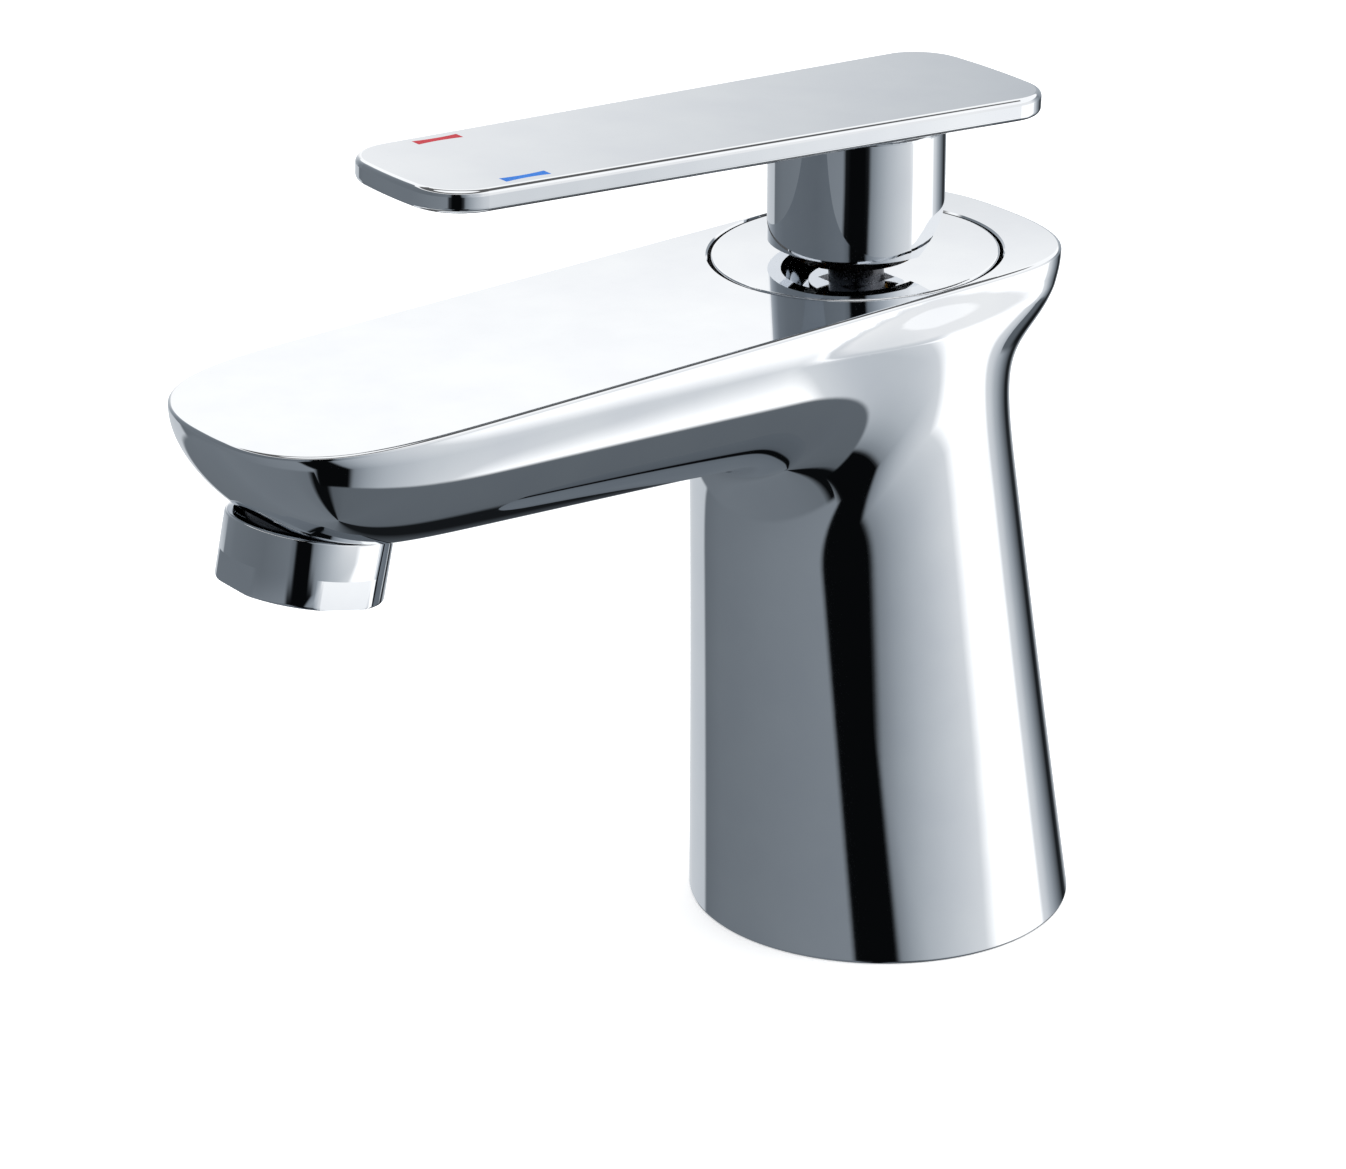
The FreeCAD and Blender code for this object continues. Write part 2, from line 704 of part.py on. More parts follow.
def hole_field(radius, spacing, reach, low, high):
    """Small holes on a triangular grid inside a circle of the given reach."""
    holes = []
    rows = int(reach / spacing) + 1
    for row in range(-rows, rows + 1):
        y = row * spacing * math.sqrt(3) / 2
        for column_index in range(-rows, rows + 1):
            x = (column_index + 0.5 * (row % 2)) * spacing
            if math.hypot(x, y) + radius < reach:
                holes.append(Part.makeCylinder(radius, high - low + 2, Vector(x, y, low - 1)))
    return holes


def aerator_housing():
    collar = Part.makeCylinder(collar_radius, collar_height, Vector(0, 0, -collar_height))
    rims = [e for e in collar.Edges if e.Length > collar_radius * 4]
    collar = collar.makeFillet(collar_edge, rims)
    flats = []
    for i in range(4):
        flat = block(collar_radius - flat_depth, collar_radius + 2, -collar_radius, collar_radius,
                     -collar_height - 1, -collar_height + flat_height)
        flat.rotate(Vector(0, 0, 0), up, 90 * i)
        flats.append(flat)
    thread = Part.makeCylinder(thread_radius, thread_height)
    bore = Part.makeCylinder(flow_radius, collar_height + thread_height, Vector(0, 0, -collar_height + lip))
    mouth = Part.makeCylinder(flow_radius - lip, collar_height, Vector(0, 0, -collar_height - 1))
    shape = join(collar.cut(flats), [thread]).cut([bore, mouth])
    shape.Placement = aerator_place
    return shape


def aerator_disc(low, high, holes):
    disc = Part.makeCylinder(flow_radius - fit_gap, high - low, Vector(0, 0, low))
    disc = disc.cut(holes)
    disc.Placement = aerator_place
    return disc


grille_bottom = -collar_height + lip
insert_bottom = grille_bottom + grille_thickness
screen_bottom = insert_bottom + insert_height


def aerator_grille():
    holes = hole_field(grille_hole, grille_pitch, flow_radius - lip, grille_bottom, insert_bottom)
    return aerator_disc(grille_bottom, insert_bottom, holes)


def aerator_insert():
    inner = flow_radius - insert_wall
    hollow = insert_height - insert_floor
    cuts = [Part.makeCylinder(inner, hollow + 1, Vector(0, 0, insert_bottom - 1))]
    cuts += hole_field(insert_hole, insert_pitch, inner - insert_margin, insert_bottom, screen_bottom)
    return aerator_disc(insert_bottom, screen_bottom, cuts)


def aerator_screen():
    top = screen_bottom + screen_thickness
    holes = hole_field(screen_hole, screen_pitch, flow_radius - lip, screen_bottom, top)
    return aerator_disc(screen_bottom, top, holes)


def aerator_washer():
    outer = Part.makeCylinder(thread_radius - fit_gap, washer_thickness, Vector(0, 0, thread_height))
    hole = Part.makeCylinder(passage_radius, 3 * washer_thickness, Vector(0, 0, thread_height - 1))
    washer = outer.cut(hole)
    washer.Placement = aerator_place
    return washer


nodes = {
    "body_casting": body_casting,
    "foot_gasket": foot_gasket,
    "cover_disc": cover_disc,
    "cover_oring": cover_oring,
    "retaining_nut": retaining_nut,
    "slip_ring": slip_ring,
    "cartridge_housing": cartridge_housing,
    "housing_oring": housing_oring,
    "cartridge_base": cartridge_base,
    "port_seals": port_seals,
    "disc_seals": disc_seals,
    "fixed_ceramic_disc": fixed_ceramic_disc,
    "moving_ceramic_disc": moving_ceramic_disc,
    "disc_carrier": disc_carrier,
    "swivel_turret": swivel_turret,
    "temperature_limit_ring": temperature_limit_ring,
    "pivot_pin": pivot_pin,
    "lever_spindle": lever_spindle,
    "lever_handle": lever_handle,
    "hot_mark": lambda: mark(-1),
    "cold_mark": lambda: mark(1),
    "grub_screw": grub_screw,
    "screw_plug": screw_plug,
    "aerator_housing": aerator_housing,
    "aerator_washer": aerator_washer,
    "aerator_screen": aerator_screen,
    "aerator_insert": aerator_insert,
    "aerator_grille": aerator_grille,
}

os.makedirs("parts", exist_ok=True)
for name, build in nodes.items():
    shape = build()
    box = shape.BoundBox
    volume = shape.Volume / 1000
    print(f"{name}: {len(shape.Solids)} solid(s), valid {shape.isValid()}, volume {volume:.2f} cm3, "
          f"z {box.ZMin:.2f} to {box.ZMax:.2f}, y {box.YMin:.2f} to {box.YMax:.2f}")
    shape.exportStep(f"parts/{name}.step")
print(f"disc travel {disc_travel:.3f} mm, chord per radian {disc_travel / math.radians(lift_angle):.3f} mm")
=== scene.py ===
import json
import math

import bpy
import numpy as np
from mathutils import Matrix, Vector
from mathutils.geometry import tessellate_polygon


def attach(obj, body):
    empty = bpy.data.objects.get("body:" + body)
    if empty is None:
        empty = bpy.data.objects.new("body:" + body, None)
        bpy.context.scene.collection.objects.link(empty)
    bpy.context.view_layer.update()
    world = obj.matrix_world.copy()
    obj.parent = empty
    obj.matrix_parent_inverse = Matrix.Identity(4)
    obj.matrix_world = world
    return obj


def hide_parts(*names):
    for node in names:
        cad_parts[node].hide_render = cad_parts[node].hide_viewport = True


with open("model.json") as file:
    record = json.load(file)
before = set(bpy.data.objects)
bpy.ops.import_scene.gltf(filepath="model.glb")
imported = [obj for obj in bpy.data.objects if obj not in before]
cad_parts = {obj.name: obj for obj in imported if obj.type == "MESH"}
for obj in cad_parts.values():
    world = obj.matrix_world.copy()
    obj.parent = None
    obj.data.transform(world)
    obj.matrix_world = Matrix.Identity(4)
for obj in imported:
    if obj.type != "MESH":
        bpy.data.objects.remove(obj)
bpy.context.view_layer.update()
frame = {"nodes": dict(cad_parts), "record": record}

MM = 0.001

# ---------------------------------------------------------------- materials


def new_material(name):
    material = bpy.data.materials.new(name)
    material.use_nodes = True
    tree = material.node_tree
    shader = tree.nodes["Principled BSDF"]
    return material, tree, shader


def noise(tree, scale, detail=4.0):
    """Noise in the object's own coordinates, with scale in features per metre."""
    where = tree.nodes.new("ShaderNodeTexCoord")
    texture = tree.nodes.new("ShaderNodeTexNoise")
    texture.inputs["Scale"].default_value = scale
    texture.inputs["Detail"].default_value = detail
    tree.links.new(where.outputs["Object"], texture.inputs["Vector"])
    return texture.outputs["Fac"]


def spread(tree, value, low, high):
    """Maps a 0 to 1 value to the range low to high."""
    node = tree.nodes.new("ShaderNodeMapRange")
    node.inputs["To Min"].default_value = low
    node.inputs["To Max"].default_value = high
    tree.links.new(value, node.inputs["Value"])
    return node.outputs["Result"]


def tint(tree, value, dark, light):
    ramp = tree.nodes.new("ShaderNodeValToRGB")
    ramp.color_ramp.elements[0].position = 0.3
    ramp.color_ramp.elements[1].position = 0.7
    ramp.color_ramp.elements[0].color = (*dark, 1)
    ramp.color_ramp.elements[1].color = (*light, 1)
    tree.links.new(value, ramp.inputs["Fac"])
    return ramp.outputs["Color"]


def add_bump(tree, shader, value, height, strength=1.0):
    bump = tree.nodes.new("ShaderNodeBump")
    bump.inputs["Strength"].default_value = strength
    bump.inputs["Distance"].default_value = height
    tree.links.new(value, bump.inputs["Height"])
    tree.links.new(bump.outputs["Normal"], shader.inputs["Normal"])


def surface(name, dark, light, rough, metallic=0.0, grain=400.0, bump=0.00002, strength=0.5, shine=0.5):
    """A material whose colour, roughness and bump all vary over the surface."""
    material, tree, shader = new_material(name)
    fine = noise(tree, grain)
    broad = noise(tree, grain / 9, 3.0)
    tree.links.new(tint(tree, broad, dark, light), shader.inputs["Base Color"])
    tree.links.new(spread(tree, fine, *rough), shader.inputs["Roughness"])
    shader.inputs["Metallic"].default_value = metallic
    shader.inputs["Specular IOR Level"].default_value = shine
    add_bump(tree, shader, fine, bump, strength)
    return material


def make_materials():
    return {
        "chrome": surface("polished_chrome", (0.80, 0.82, 0.85), (0.84, 0.86, 0.88), (0.015, 0.045),
                          metallic=1.0, grain=900, bump=0.000002, strength=0.12),
        "black_rubber": surface("moulded_rubber", (0.012, 0.012, 0.013), (0.03, 0.03, 0.032), (0.55, 0.8),
                                grain=2500, bump=0.00005),
        "brass": surface("machined_brass", (0.62, 0.42, 0.16), (0.74, 0.54, 0.24), (0.2, 0.38),
                         metallic=1.0, grain=1500, bump=0.00002),
        # painted shade: the steel's colour is made near black so the spindle in the gap under the hub reads
        # as the shade there
        "steel": surface("steel_darkened_as_shade", (0.10, 0.10, 0.11), (0.16, 0.16, 0.17), (0.22, 0.34),
                         metallic=1.0, grain=1800, bump=0.00002),
        "white_plastic": surface("white_moulded_plastic", (0.72, 0.72, 0.69), (0.8, 0.8, 0.77), (0.35, 0.5),
                                 grain=1600, bump=0.00002),
        "grey_plastic": surface("grey_moulded_plastic", (0.2, 0.21, 0.22), (0.27, 0.28, 0.29), (0.35, 0.5),
                                grain=1600, bump=0.00002),
        "red_plastic": surface("red_moulded_plastic", (0.42, 0.02, 0.02), (0.52, 0.04, 0.03), (0.35, 0.5),
                               grain=1600, bump=0.00002),
        "ceramic": surface("lapped_ceramic", (0.78, 0.76, 0.7), (0.86, 0.84, 0.79), (0.12, 0.22),
                           grain=1200, bump=0.00001),
        "red_enamel": surface("red_enamel", (0.36, 0.008, 0.02), (0.46, 0.014, 0.03), (0.4, 0.55),
                              grain=2200, bump=0.00001, shine=0.15),
        "blue_enamel": surface("blue_enamel", (0.004, 0.12, 0.5), (0.01, 0.17, 0.6), (0.4, 0.55),
                               grain=2200, bump=0.00001, shine=0.15),
    }


materials = make_materials()
slot_of = {part["node"]: part["material_slot"] for part in frame["record"]["subparts"]}
for name, node in frame["nodes"].items():
    node.data.materials.clear()
    node.data.materials.append(materials[slot_of[name]])

# ---------------------------------------------------------------- body shape
# Millimetres here; every mesh is scaled to metres when it is made.

DECK_HEIGHT = 106.2                          # at the cartridge axis
DECK_SLOPE = math.tan(math.radians(1.97))    # the deck falls towards the nose
CARTRIDGE_Y = -6.4
FOOT_RADIUS = 29.9
NECK_RADIUS = 24.05
NECK_HEIGHT = 84.0
NECK_SHIFT = -7.4
COLUMN_SAG = 0.6
NOSE_REACH = 114.7
STERN_REACH = 29.6
NOSE_START = 70.0
HALF_WIDTH = 23.1
SECTION_POWER = 2.4
CLOSING_POWER = 5.0
WIDTH_CLOSING = 0.42
DEPTH_CLOSING = 0.69
SPOUT_DEPTH = 24.6                           # below the deck, DEPTH_REFERENCE in front of the axis
SPOUT_DEPTH_LOSS = 0.075                     # depth lost per millimetre of reach
DEPTH_REFERENCE = 45.0
STERN_DEPTH = 17.0
DEPTH_BLEND_START = -10.0                    # where STERN_DEPTH begins to grow into the spout's
DEPTH_BLEND_LENGTH = 34.0
LEAST_DEPTH = 5.0
BLEND_FRONT = 13.0                           # radius of the blend between the column and the spout
BLEND_BACK = 14.0
BLEND_TURN_START = -12.0                     # along Y, where BLEND_FRONT begins to turn into BLEND_BACK
BLEND_TURN_LENGTH = 24.0
BLEND_FADE = 6.0                             # depth over which the blend grows from nothing
GRID = 0.8
LONGEST_STEP = 0.5                           # when a point is moved on to a surface
EASING = 0.6                                 # share of the way to its neighbours' middle
CLEARANCE = 0.01                             # points keep this far from a cut
RIM_STEPS = 6
FOOT_STEPS = 3
CAVITY_STEPS = 8
HOLE_STEPS = 32
RIM_RADIUS = 0.6
FOOT_ROUND = 0.5
RECESS_RADIUS = 22.2
RECESS_FLOOR = 101.5
RECESS_BEVEL = 0.25
BORE_RADIUS = 19.5
BORE_DEPTH = 8.5                             # from the recess floor to the cartridge's shoulder
SHOULDER_RADIUS = 16.2
GROOVE_OUTER = 28.4                          # for the gasket in the foot
GROOVE_INNER = 25.9
GROOVE_DEPTH = 2.0
CAVITY_HEIGHT = 50.0
CAVITY_WALL = 4.0
CAVITY_FOOT_EXTRA = 1.5                      # more wall at the foot
INLET_RADIUS = 4.5
INLET_X = 7.5
INLET_Y = -4.4
STUD_RADIUS = 3.4
STUD_Y = 9.6
BLIND_DEPTH = 10.0                           # seen up the inlets and the stud's hole
NET_LOW = (-31.5, -122.5, -1.6)
NET_HIGH = (31.5, 31.5, 109.0)

AERATOR_TILT = math.radians(12.2)
AERATOR_CENTRE = np.array([0.0, -104.1, 84.1])
AERATOR_AXIS = np.array([0.0, math.sin(AERATOR_TILT), math.cos(AERATOR_TILT)])
AERATOR_FRONT = np.array([0.0, -math.cos(AERATOR_TILT), math.sin(AERATOR_TILT)])
SPOT_RADIUS = 12.7
SPOT_TOP = 1.8
SOCKET_RADIUS = 11.0
SOCKET_TOP = 8.5


def smooth_step(t):
    t = np.clip(t, 0, 1)
    return t * t * (3 - 2 * t)


def column_radius(t):
    """Radius of the column at a share of the neck's height."""
    return FOOT_RADIUS + (NECK_RADIUS - FOOT_RADIUS) * t + COLUMN_SAG * t * (t - 1)


def column_distance(p):
    t = p[:, 2] / NECK_HEIGHT
    return np.hypot(p[:, 0], p[:, 1] - NECK_SHIFT * t) - column_radius(t)


def deck_depth(p):
    """Distance below the deck plane."""
    s = CARTRIDGE_Y - p[:, 1]
    return (DECK_HEIGHT - DECK_SLOPE * s - p[:, 2]) / math.hypot(1, DECK_SLOPE)


def hull_value(p):
    """Below zero inside the flat-topped hull of deck and spout, which runs on upwards past the deck."""
    s = CARTRIDGE_Y - p[:, 1]
    depth = SPOUT_DEPTH - SPOUT_DEPTH_LOSS * (s - DEPTH_REFERENCE)
    grown = smooth_step((s - DEPTH_BLEND_START) / DEPTH_BLEND_LENGTH)
    depth = STERN_DEPTH + (depth - STERN_DEPTH) * grown
    towards_nose = (s - NOSE_START) / (NOSE_REACH - NOSE_START)
    t = np.where(s > NOSE_START, towards_nose, np.where(s < 0, -s / STERN_REACH, 0))
    closing = 1 - t ** CLOSING_POWER
    room = np.maximum(closing, 0)
    wide = (np.abs(p[:, 0]) / HALF_WIDTH) ** SECTION_POWER
    deep = (np.maximum(deck_depth(p), 0) / np.maximum(depth, LEAST_DEPTH)) ** SECTION_POWER
    full = np.sign(closing) * np.abs(closing) ** (SECTION_POWER * DEPTH_CLOSING)
    return wide * room ** (SECTION_POWER * (DEPTH_CLOSING - WIDTH_CLOSING)) + deep - full


def slope_of(function, p, step=0.01):
    """Gradient of a function of points, by central differences."""
    out = np.empty_like(p)
    for axis in range(3):
        move = np.zeros(3)
        move[axis] = step
        out[:, axis] = (function(p + move) - function(p - move)) / (2 * step)
    return out


def hull_distance(p):
    steep = np.linalg.norm(slope_of(hull_value, p), axis=1)
    return hull_value(p) / np.maximum(steep, 1e-4)


def body_distance(p):
    """Column and hull, melted into each other; the blend is wider at the back and fades out at the deck."""
    a, b = column_distance(p), hull_distance(p)
    backward = smooth_step((p[:, 1] - BLEND_TURN_START) / BLEND_TURN_LENGTH)
    size = BLEND_FRONT + (BLEND_BACK - BLEND_FRONT) * backward
    size = size * smooth_step(deck_depth(p) / BLEND_FADE)
    near = np.maximum(size - np.abs(a - b), 0)
    melted = np.minimum(a, b) - near ** 3 / np.maximum(6 * size * size, 1e-3)
    s = CARTRIDGE_Y - p[:, 1]
    return np.where(deck_depth(p) < 2 * BLEND_FADE, np.maximum(melted, -s - STERN_REACH), melted)


def onto(function, p, rounds=2):
    """Moves points on to the surface where the function is zero."""
    for _ in range(rounds):
        slope = slope_of(function, p)
        square = np.maximum((slope ** 2).sum(axis=1), 1e-6)
        step = (function(p) / square)[:, None] * slope
        size = np.linalg.norm(step, axis=1, keepdims=True)
        p = p - step * np.minimum(1, LONGEST_STEP / np.maximum(size, 1e-9))
    return p


def surface_net(function, low, high, spacing):
    """Quads that follow the zero surface of a function over a box."""
    axes = [np.arange(a, b + spacing, spacing) for a, b in zip(low, high)]
    shape = tuple(len(a) for a in axes)
    points = np.stack(np.meshgrid(*axes, indexing="ij"), axis=-1).reshape(-1, 3)
    values = np.concatenate([function(chunk) for chunk in np.array_split(points, 12)]).reshape(shape)
    inside = values < 0
    cells = tuple(n - 1 for n in shape)
    total, count = np.zeros((*cells, 3)), np.zeros(cells)
    corner = [(i, j, k) for i in (0, 1) for j in (0, 1) for k in (0, 1)]
    cut = {c: tuple(slice(o, o + n) for o, n in zip(c, cells)) for c in corner}
    for a in corner:
        for axis in range(3):
            if a[axis]:
                continue
            b = tuple(1 if n == axis else o for n, o in enumerate(a))
            va, vb = values[cut[a]], values[cut[b]]
            crossing = inside[cut[a]] != inside[cut[b]]
            share = np.where(crossing, va / np.where(crossing, va - vb, 1), 0)
            for n in range(3):
                total[..., n] += crossing * (a[n] + (share if n == axis else 0))
            count += crossing
    used = count > 0
    number = np.full(cells, -1)
    number[used] = np.arange(used.sum())
    where = np.argwhere(used)
    spots = (where + total[used] / count[used][:, None]) * spacing + np.array(low)
    quads = []
    for axis in range(3):
        u, v = (axis + 1) % 3, (axis + 2) % 3
        span = [slice(1, n - 1) for n in shape]
        span[axis] = slice(0, shape[axis] - 1)
        ahead = list(span)
        ahead[axis] = slice(1, shape[axis])
        first, second = inside[tuple(span)], inside[tuple(ahead)]
        for starts in (True, False):
            at = np.argwhere((first != second) & (first == starts))
            base = at + np.array([0 if n == axis else 1 for n in range(3)])

            def cell(du, dv):
                spot = base.copy()
                spot[:, u] += du
                spot[:, v] += dv
                return number[tuple(spot.T)]

            ring = [cell(-1, -1), cell(0, -1), cell(0, 0), cell(-1, 0)]
            quads.append(np.stack(ring if starts else ring[::-1], axis=1))
    return spots, np.concatenate(quads)


def relax(function, spots, quads, rounds=4):
    """Evens out a net without leaving the surface."""
    pairs = np.concatenate([quads[:, [i, (i + 1) % 4]] for i in range(4)])
    for _ in range(rounds):
        total, count = np.zeros_like(spots), np.zeros(len(spots))
        for a, b in ((0, 1), (1, 0)):
            np.add.at(total, pairs[:, a], spots[pairs[:, b]])
            np.add.at(count, pairs[:, a], 1)
        spots = onto(function, spots + EASING * (total / count[:, None] - spots), 1)
    return onto(function, spots, 3)


def clip(spots, faces, field, surface):
    """Keeps the part of a triangle mesh where the field is above zero. Returns it with the cut's edges."""
    values = field(spots)
    values[np.abs(values) < CLEARANCE] = CLEARANCE
    keep = values > 0
    state = keep[faces].sum(axis=1)
    out = list(faces[state == 3])
    crossed = faces[(state == 1) | (state == 2)]
    extra, known, rim = [], {}, []

    def crossing(a, b):
        key = (min(a, b), max(a, b))
        if key not in known:
            share = values[a] / (values[a] - values[b])
            known[key] = len(spots) + len(extra)
            extra.append(spots[a] + share * (spots[b] - spots[a]))
        return known[key]

    for face in crossed:
        lone_kept = keep[face].sum() == 1
        turn = int(np.argmax(keep[face] == lone_kept))
        a, b, c = np.roll(face, -turn)
        ab, ac = crossing(a, b), crossing(a, c)
        if lone_kept:
            out.append((a, ab, ac))
            rim.append((ab, ac))
        else:
            out += [(ab, b, c), (ab, c, ac)]
            rim.append((ac, ab))
    added = np.array(extra)
    for _ in range(4):
        added = onto(field, onto(surface, added, 1), 1)
    return np.concatenate([spots, added]), np.array(out), rim


def loops_of(rim):
    """Chains directed edges into closed loops."""
    after = dict(rim)
    loops = []
    while after:
        start, spot = next(iter(after.items()))
        loop = [start]
        del after[start]
        while spot != start and spot in after:
            loop.append(spot)
            spot = after.pop(spot)
        loops.append(loop)
    return loops


class Shell:
    """Collects vertices, faces and normals of one mesh."""

    def __init__(self):
        self.spots, self.faces, self.normals = [], [], []

    def add(self, spots, faces, normals=None):
        first = len(self.spots)
        self.spots += [tuple(p) for p in spots]
        self.faces += [tuple(int(i) + first for i in face) for face in faces]
        self.normals += [tuple(n) for n in normals] if normals is not None else [(0, 0, 0)] * len(spots)

    def strip(self, rings, normals=None):
        """Quads between closed rings of equal length."""
        n = len(rings[0])
        faces = [(r * n + i, r * n + (i + 1) % n, (r + 1) * n + (i + 1) % n, (r + 1) * n + i)
                 for r in range(len(rings) - 1) for i in range(n)]
        flat = [n for ring in normals for n in ring] if normals is not None else None
        self.add([p for ring in rings for p in ring], faces, flat)

    def make(self, name, sharp_deg=35):
        mesh = bpy.data.meshes.new(name)
        mesh.from_pydata([(x * MM, y * MM, z * MM) for x, y, z in self.spots], [], self.faces)
        mesh.shade_smooth()
        mesh.set_sharp_from_angle(angle=math.radians(sharp_deg))
        if any(any(n) for n in self.normals):
            mesh.normals_split_custom_set_from_vertices(self.normals)
        made = bpy.data.objects.new(name, mesh)
        bpy.context.scene.collection.objects.link(made)
        return made


def circle(radius, z, centre=(0.0, CARTRIDGE_Y), steps=128):
    turn = [2 * math.pi * i / steps for i in range(steps)]
    return [(centre[0] + radius * math.cos(a), centre[1] + radius * math.sin(a), z) for a in turn]


def spot_field(p):
    """Above zero outside the hole that is cut for the aerator."""
    offset = p - AERATOR_CENTRE
    height = offset @ AERATOR_AXIS
    radius = np.linalg.norm(offset - height[:, None] * AERATOR_AXIS, axis=1)
    return np.minimum(np.maximum(radius - SPOT_RADIUS, height - SPOT_TOP), radius - SOCKET_RADIUS)


def flat_fill(shell, outlines, z_of, upward):
    """Fills a flat region: the first outline is its outside and the rest are holes."""
    flat = [[Vector((p[0], p[1], 0)) for p in outline] for outline in outlines]
    faces = tessellate_polygon(flat)
    spots = [(v.x, v.y, z_of(v.x, v.y)) for outline in flat for v in outline]
    oriented = []
    for a, b, c in faces:
        turn = (spots[b][0] - spots[a][0]) * (spots[c][1] - spots[a][1]) \
            - (spots[b][1] - spots[a][1]) * (spots[c][0] - spots[a][0])
        oriented.append((a, b, c) if (turn > 0) == upward else (a, c, b))
    shell.add(spots, oriented)


def deck_z(x, y):
    return DECK_HEIGHT - DECK_SLOPE * (CARTRIDGE_Y - y)


def make_body():
    shell = Shell()
    spots, quads = surface_net(body_distance, NET_LOW, NET_HIGH, GRID)
    spots = relax(body_distance, spots, quads)
    faces = np.concatenate([quads[:, [0, 1, 2]], quads[:, [0, 2, 3]]])
    spots, faces, deck_rim = clip(spots, faces, lambda p: deck_depth(p) - RIM_RADIUS, body_distance)
    spots, faces, foot_rim = clip(spots, faces, lambda p: p[:, 2] - FOOT_ROUND, body_distance)
    spots, faces, spot_rim = clip(spots, faces, spot_field, body_distance)
    used = np.unique(faces)
    number = np.full(len(spots), -1)
    number[used] = np.arange(len(used))
    skin_normals = slope_of(body_distance, spots[used])
    skin_normals /= np.linalg.norm(skin_normals, axis=1, keepdims=True)
    shell.add(spots[used], number[faces], skin_normals)

    # rim between the side and the deck
    deck_up = np.array([0, -DECK_SLOPE, 1]) / math.hypot(1, DECK_SLOPE)
    loop = spots[max(loops_of(deck_rim), key=len)]
    out = slope_of(body_distance, loop)
    out -= (out @ deck_up)[:, None] * deck_up
    out /= np.linalg.norm(out, axis=1, keepdims=True)
    rings, normals = [], []
    for step in range(RIM_STEPS + 1):
        a = math.pi / 2 * step / RIM_STEPS
        rings.append(loop + RIM_RADIUS * (out * (math.cos(a) - 1) + deck_up * math.sin(a)))
        normals.append(out * math.cos(a) + deck_up * math.sin(a))
    shell.strip(rings[::-1], normals[::-1])

    # deck with its recess, the recess and the bore under it
    bevel_ring = [(x, y, deck_z(x, y)) for x, y, _ in circle(RECESS_RADIUS + RECESS_BEVEL, 0)]
    wall_top = [(x, y, deck_z(x, y) - RECESS_BEVEL) for x, y, _ in circle(RECESS_RADIUS, 0)]
    flat_fill(shell, [rings[-1], bevel_ring], deck_z, True)
    shell.strip([wall_top, bevel_ring])
    shoulder = RECESS_FLOOR - BORE_DEPTH
    shell.strip([circle(SHOULDER_RADIUS, shoulder), circle(BORE_RADIUS, shoulder),
                 circle(BORE_RADIUS, RECESS_FLOOR), circle(RECESS_RADIUS, RECESS_FLOOR), wall_top])

    # foot: rounded edge, seat, groove and cavity
    loop = spots[max(loops_of(foot_rim), key=len)]
    out = loop * (1, 1, 0)
    out /= np.linalg.norm(out, axis=1, keepdims=True)
    rings, normals = [], []
    for step in range(FOOT_STEPS + 1):
        a = math.pi / 2 * step / FOOT_STEPS
        rings.append(loop + FOOT_ROUND * (out * (math.cos(a) - 1) - np.array([0, 0, 1]) * math.sin(a)))
        normals.append(out * math.cos(a) - np.array([0, 0, 1]) * math.sin(a))
    shell.strip(rings[::-1], normals[::-1])
    middle = (0, 0)
    flat_fill(shell, [rings[-1], circle(GROOVE_OUTER, 0, middle)], lambda x, y: 0.0, False)
    cavity = []
    for step in range(CAVITY_STEPS + 1):
        share = step / CAVITY_STEPS
        z = CAVITY_HEIGHT * share
        t = z / NECK_HEIGHT
        radius = column_radius(t) - CAVITY_WALL - CAVITY_FOOT_EXTRA * (1 - share)
        cavity.append(circle(radius, z, (0, NECK_SHIFT * t)))
    shell.strip([circle(GROOVE_INNER, 0, middle), circle(GROOVE_INNER, GROOVE_DEPTH, middle),
                 circle(GROOVE_OUTER, GROOVE_DEPTH, middle), circle(GROOVE_OUTER, 0, middle)])
    shell.strip(cavity[::-1] + [circle(GROOVE_INNER, 0, middle)])
    places = [(INLET_RADIUS, -INLET_X, INLET_Y), (INLET_RADIUS, INLET_X, INLET_Y), (STUD_RADIUS, 0, STUD_Y)]
    holes = [circle(radius, CAVITY_HEIGHT, (x, y), HOLE_STEPS) for radius, x, y in places]
    flat_fill(shell, [cavity[-1]] + holes, lambda x, y: CAVITY_HEIGHT, False)
    for hole in holes:
        top = [(x, y, z + BLIND_DEPTH) for x, y, z in hole]
        shell.strip([top, hole])
        shell.add(top, [tuple(range(len(top)))[::-1]])

    # seat of the aerator
    loop = spots[max(loops_of(spot_rim), key=len)]
    offset = loop - AERATOR_CENTRE
    height = offset @ AERATOR_AXIS
    flat = offset - height[:, None] * AERATOR_AXIS
    away = flat / np.linalg.norm(flat, axis=1, keepdims=True)
    seat = np.maximum(height, SPOT_TOP)[:, None]
    shell.strip([loop, AERATOR_CENTRE + flat + seat * AERATOR_AXIS,
                 AERATOR_CENTRE + SOCKET_RADIUS * away + seat * AERATOR_AXIS,
                 AERATOR_CENTRE + SOCKET_RADIUS * away + SOCKET_TOP * AERATOR_AXIS])
    body = shell.make("body")
    body.data.materials.append(materials["chrome"])
    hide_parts("body_casting")
    return body


COLLAR_RADIUS = 12.1
COLLAR_TOP = 1.5
COLLAR_BOTTOM = -8.5
COLLAR_EDGE = 0.45
COLLAR_STEPS = 4
COLLAR_SHARP_DEG = 25
FLAT_TOP = -4.1
FLAT_DEPTH = 0.9
FLOW_RADIUS = 9.5
MOUTH_RADIUS = 8.7
MOUTH_HEIGHT = 0.8


def collar_ring(radius, height, flat=0.0, steps=192):
    """Ring round the aerator's axis; flat cuts four flats of that depth into it."""
    ring = []
    for i in range(steps):
        turn = 2 * math.pi * i / steps
        off = (turn + math.pi / 4) % (math.pi / 2) - math.pi / 4
        r = min(radius, (COLLAR_RADIUS - flat) / math.cos(off)) if flat else radius
        side = np.array([1.0, 0, 0]) * math.cos(turn) * r
        ring.append(AERATOR_CENTRE + side + AERATOR_FRONT * math.sin(turn) * r + AERATOR_AXIS * height)
    return ring


